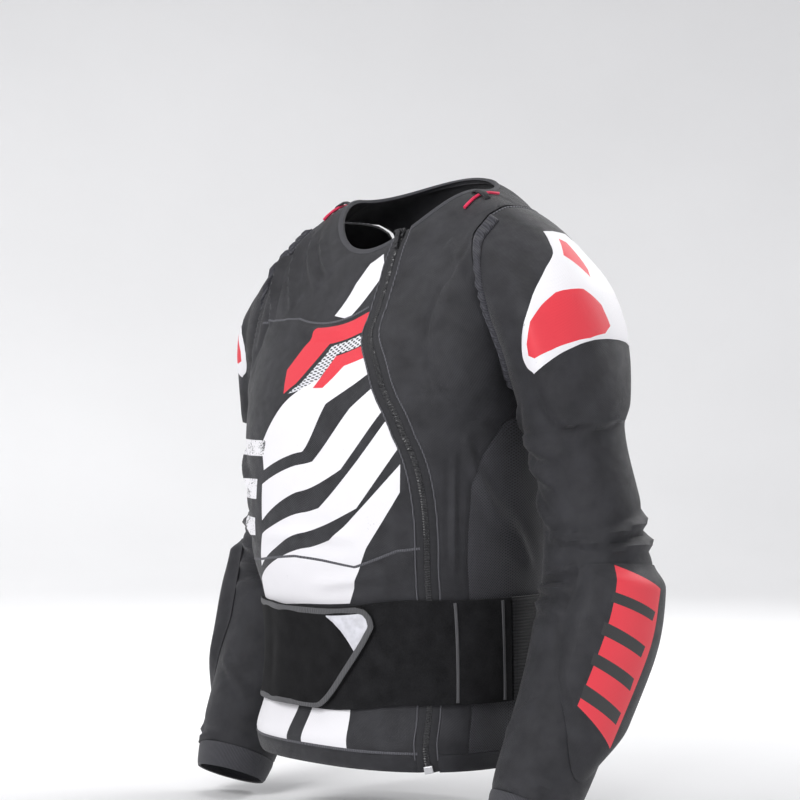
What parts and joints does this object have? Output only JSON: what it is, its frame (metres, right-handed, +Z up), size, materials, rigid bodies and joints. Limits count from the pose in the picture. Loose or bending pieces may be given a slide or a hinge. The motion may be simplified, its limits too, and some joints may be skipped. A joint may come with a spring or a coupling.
{
  "type": "body protector jacket",
  "caption": "Long-sleeved stretch protection jacket with front zip, raised shoulder and elbow pads, ruched armhole bands and a wide hook-and-loop waist belt, in worn form.",
  "frame": {"origin": "between the shoulders, level with the seam that rests on the wearer's shoulders, where the jacket hangs from them", "axes": "+Z up, -Y to the front of the wearer, +X to the wearer's left"},
  "size_m": [0.6254, 0.283, 0.6804],
  "materials": {
    "mesh_black": "perforated stretch mesh",
    "stretch_black": "smooth stretch knit",
    "print_white": "printed knit",
    "belt_black": "brushed loop velour",
    "binding_grey": "folded binding",
    "tab_grey": "matte moulded",
    "piping_red": "satin piping",
    "zip_black": "satin",
    "zip_steel": "plain"
  },
  "bodies": {
    "jacket": {"front_left_panel": "mesh_black", "front_right_panel": "print_white", "back_panel": "stretch_black", "side_panel_left": "mesh_black", "side_panel_right": "mesh_black", "neck_binding": "binding_grey", "hem_band": "stretch_black", "belt_elastic": "stretch_black", "belt_left_end": "belt_black", "belt_flap": "belt_black", "belt_corner_tab": "tab_grey", "zip_tape_left": "zip_black", "zip_tape_right": "zip_black", "zip_teeth": "zip_black", "zip_slider": "zip_black", "zip_bottom_box": "zip_steel", "sleeve_left": "stretch_black", "cuff_left": "stretch_black", "shoulder_pad_left": "stretch_black", "elbow_pad_left": "stretch_black", "shoulder_badge_left": "print_white", "ruched_band_left": "binding_grey", "shoulder_piping_left": "piping_red", "brace_loop_left": "binding_grey", "sleeve_right": "stretch_black", "cuff_right": "stretch_black", "shoulder_pad_right": "stretch_black", "elbow_pad_right": "stretch_black", "shoulder_badge_right": "print_white", "ruched_band_right": "binding_grey", "shoulder_piping_right": "piping_red", "brace_loop_right": "binding_grey"},
    "pull": {"zip_pull": "zip_black"}
  },
  "joints": [
    {"name": "zip_pull_swing", "type": "hinge", "parent": "jacket", "child": "pull", "pos_m": [0.04674, -0.08559, -0.04009], "axis": [-0.9748, -0.1229, -0.1862], "range_deg": [0, 150]}
  ]
}
